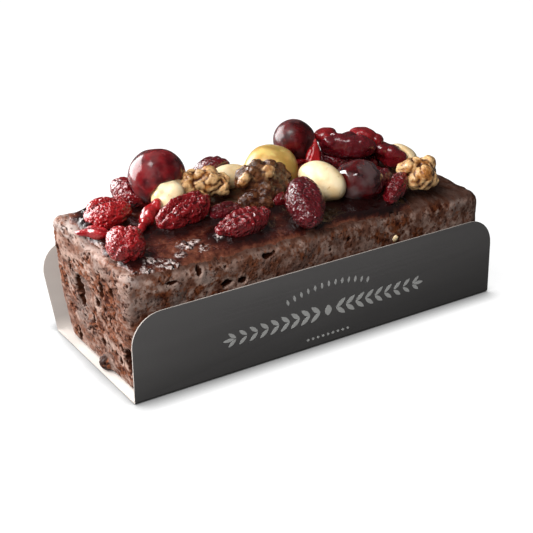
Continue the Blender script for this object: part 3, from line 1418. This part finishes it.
class FRUITCAKE_OT_glaze(bpy.types.Operator):
    """Lay the dark glaze over the cake, thin at its edges and gathered round the fruit"""

    bl_idname = "fruitcake.glaze"
    bl_label = "Glaze"

    def execute(self, context):
        settings = context.scene.cake_glaze
        crumb = bpy.data.objects["crumb"]
        cake = tree_of(["crumb"])
        fruit = tree_of([piece.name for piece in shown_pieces() if piece.name.endswith(("_skin", "_flesh", "_kernel"))])
        low, high = (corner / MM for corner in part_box("cake"))
        cell = settings.cell / MM
        columns = round((high.x - low.x) / cell)
        rows = round((high.y - low.y) / cell)
        bm = bmesh.new()
        layer = bm.verts.layers.float.new("depth")
        gloss = bm.verts.layers.float.new("wet")
        rim = bm.verts.layers.float.new("rim")
        crinkled = bm.verts.layers.float.new("crinkled")
        bmesh.ops.create_grid(bm, x_segments=columns, y_segments=rows, size=0.5)
        span = Vector((high.x - low.x, high.y - low.y, 1.0))
        bmesh.ops.scale(bm, vec=span, verts=bm.verts)
        bmesh.ops.translate(bm, vec=(low + high) / 2, verts=bm.verts)
        outside = []
        margins = {}
        for vert in bm.verts:
            x, y = vert.co.x, vert.co.y
            margin = glaze_margin(x, y, low, high, settings.stop / MM)
            start = Vector((x, y, high.z + 40.0)) * MM
            hit, normal, _, _ = cake.ray_cast(start, Vector((0, 0, -1)))
            if margin < 0 or hit is None or hit.z / MM < high.z - 13.0:
                outside.append(vert)
                continue
            vert.co.z = hit.z / MM
            margins[vert] = margin
        bmesh.ops.delete(bm, geom=outside, context="VERTS")
        loose = [vert for vert in bm.verts if not vert.link_faces]
        bmesh.ops.delete(bm, geom=loose, context="VERTS")
        bottom = {vert: vert.co.z for vert in bm.verts}
        level = dict(bottom)
        for _ in range(6):
            level = {
                vert: (level[vert] + sum(level[edge.other_vert(vert)] for edge in vert.link_edges))
                / (1 + len(vert.link_edges))
                for vert in bm.verts
            }
        film = settings.film / MM
        pool = settings.pool / MM
        reach = settings.reach / MM
        for vert in bm.verts:
            place = Vector((vert.co.x, vert.co.y, level[vert] + film))
            _, _, _, away = fruit.find_nearest(place * MM)
            away = away / MM
            edge = smoothstep(0.0, 2.4, margins[vert])
            gathered = pool * math.exp(-away / reach) + 0.6 * pool * math.exp(-((away / 4.0) ** 2))
            wet = min(gathered / (0.5 * pool), 1.0)
            brushed = 0.32 * noise.noise(place / 3.0) + 0.30 * abs(noise.noise(place / 1.6))
            across = Vector((place.x - PUDDLE[0], (place.y - PUDDLE[1]) * 1.5, 0)).length
            gathered += pool * (1 - smoothstep(0.55, 1.0, across / PUDDLE[2]))
            base = bottom[vert] + (level[vert] - bottom[vert]) * (0.25 + 0.75 * wet)
            thick = edge * (film + gathered + brushed * (1 - 0.7 * wet))
            top = max(base + thick, bottom[vert] + 0.10 * edge)
            vert[layer] = min(max((top - bottom[vert]) / 1.2, 0.0), 1.0)
            dry = 1 - smoothstep(2.0, 9.0, vert.co.x - low.x)
            glint = 0.0
            for x, y, radius in GLINTS:
                away = math.hypot(place.x - x, place.y - y) / radius + 0.5 * noise.noise(place / 1.5)
                glint = max(glint, 1 - smoothstep(0.5, 1.0, away))
            vert[gloss] = max(1 - dry, glint)
            vert[crinkled] = glint
            worn = margins[vert] + 1.6 * noise.noise(place / 2.2)
            worn += 1.2 * smoothstep(-0.1, 0.2, noise.noise(place / 6.0))
            vert[rim] = (1 - smoothstep(0.2, 1.4, worn)) * (1 - 0.75 * smoothstep(-30.0, 5.0, place.x))
            vert.co.z = top - 0.25 * (1 - edge)
        grown = bmesh.ops.extrude_face_region(bm, geom=bm.faces[:])["geom"]
        sunk = [item for item in grown if isinstance(item, bmesh.types.BMVert)]
        bmesh.ops.translate(bm, vec=(0, 0, -1.1), verts=sunk)
        bmesh.ops.recalc_face_normals(bm, faces=bm.faces)
        bmesh.ops.scale(bm, vec=(MM, MM, MM), verts=bm.verts)
        glaze = finished("glaze_coat", bm, glaze_material(settings))
        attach(glaze, BODY)
        return {"FINISHED"}


# ---------------------------------------------------------------- stage


def look(place, aim):
    """The matrix of a camera or lamp at a place, turned to its aim."""
    turn = (aim - place).to_track_quat("-Z", "Y")
    return Matrix.Translation(place) @ turn.to_matrix().to_4x4()


def add_softbox(name, place, aim, width, height, power):
    lamp = bpy.data.lights.new(name, "AREA")
    lamp.shape = "RECTANGLE"
    lamp.size = width
    lamp.size_y = height
    lamp.energy = power
    box = bpy.data.objects.new(name, lamp)
    box.matrix_world = look(place, aim)
    bpy.context.scene.collection.objects.link(box)
    return box


class FRUITCAKE_OT_stage(bpy.types.Operator):
    """Set a pale floor, softboxes, a white room and the camera"""

    bl_idname = "fruitcake.stage"
    bl_label = "Studio"

    def execute(self, context):
        settings = context.scene.cake_stage
        scene = context.scene
        bm = bmesh.new()
        bmesh.ops.create_circle(bm, cap_ends=True, segments=64, radius=14.0)
        bmesh.ops.translate(bm, vec=(0, 0, CAD_BOX[0].z - 0.0002), verts=bm.verts)
        material, tree, shader = new_material("floor", Roughness=0.8)
        shader.inputs["Base Color"].default_value = (*settings.floor, 1.0)
        shader.inputs["Emission Color"].default_value = (1.0, 1.0, 1.0, 1.0)
        seen = add_node(tree, "ShaderNodeLightPath").outputs["Is Camera Ray"]
        near = add_node(tree, "ShaderNodeAmbientOcclusion", {"Distance": settings.contact}, samples=16)
        open_share = sums(tree, "POWER", near.outputs["AO"], 2.4)
        glow = sums(tree, "MULTIPLY", seen, settings.floor_glow)
        glow = sums(tree, "MULTIPLY", glow, open_share)
        tree.links.new(glow, shader.inputs["Emission Strength"])
        floor = finished("floor", bm, material)
        floor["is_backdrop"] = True
        centre = (CAD_BOX[0] + CAD_BOX[1]) / 2
        key = Vector((-0.58, 0.77, 0.26)).normalized() * 0.55
        add_softbox("key", centre + key, centre, 0.60, 0.44, settings.key)
        fill = Vector((-0.68, -0.34, 0.65)).normalized() * 0.50
        box = add_softbox("fill", centre + fill, centre, 0.4, 0.4, settings.fill)
        box.visible_glossy = False
        top = Vector((-0.45, -0.05, 0.89)).normalized() * 0.80
        add_softbox("top", centre + top, centre, 0.30, 0.22, settings.top)
        world = bpy.data.worlds.new("studio")
        world.use_nodes = True
        background = world.node_tree.nodes["Background"]
        background.inputs["Color"].default_value = (1.0, 1.0, 1.0, 1.0)
        background.inputs["Strength"].default_value = settings.surround
        scene.world = world
        aim = Vector(settings.aim)
        level = math.cos(settings.elevation)
        back = Vector(
            (
                math.sin(settings.azimuth) * level,
                -math.cos(settings.azimuth) * level,
                math.sin(settings.elevation),
            )
        )
        camera = bpy.data.cameras.new("camera")
        camera.lens = settings.lens
        camera.clip_start = 0.01
        eye = bpy.data.objects.new("camera", camera)
        eye.matrix_world = look(aim + back * settings.distance, aim)
        scene.collection.objects.link(eye)
        scene.camera = eye
        scene.view_settings.view_transform = "Standard"
        return {"FINISHED"}


# ---------------------------------------------------------------- add-on


OPERATORS = (
    FRUITCAKE_OT_card_tray,
    FRUITCAKE_OT_ornament,
    FRUITCAKE_OT_crumb,
    FRUITCAKE_OT_berries,
    FRUITCAKE_OT_cherries,
    FRUITCAKE_OT_nuts,
    FRUITCAKE_OT_walnuts,
    FRUITCAKE_OT_glaze,
    FRUITCAKE_OT_stage,
)


class FRUITCAKE_PT_panel(bpy.types.Panel):
    """Buttons and settings for the fruit cake"""

    bl_idname = "FRUITCAKE_PT_panel"
    bl_label = "Fruit cake"
    bl_space_type = "VIEW_3D"
    bl_region_type = "UI"
    bl_category = "Fruit cake"

    def draw(self, context):
        for operator in OPERATORS:
            self.layout.operator(operator.bl_idname)
        for name, group in SETTINGS.items():
            box = self.layout.box()
            box.label(text=group.__doc__)
            for field in group.__annotations__:
                box.prop(getattr(context.scene, name), field)


def register():
    for group in SETTINGS.values():
        bpy.utils.register_class(group)
    for operator in OPERATORS:
        bpy.utils.register_class(operator)
    bpy.utils.register_class(FRUITCAKE_PT_panel)
    for name, group in SETTINGS.items():
        setattr(bpy.types.Scene, name, PointerProperty(type=group))


def unregister():
    for name in SETTINGS:
        delattr(bpy.types.Scene, name)
    bpy.utils.unregister_class(FRUITCAKE_PT_panel)
    for operator in reversed(OPERATORS):
        bpy.utils.unregister_class(operator)
    for group in reversed(SETTINGS.values()):
        bpy.utils.unregister_class(group)


def main():
    register()
    bpy.ops.fruitcake.card_tray()
    bpy.ops.fruitcake.ornament()
    bpy.ops.fruitcake.crumb()
    bpy.ops.fruitcake.berries()
    bpy.ops.fruitcake.cherries()
    bpy.ops.fruitcake.nuts()
    bpy.ops.fruitcake.walnuts()
    bpy.ops.fruitcake.glaze()
    bpy.ops.fruitcake.stage()


if __name__ == "__main__":
    main()
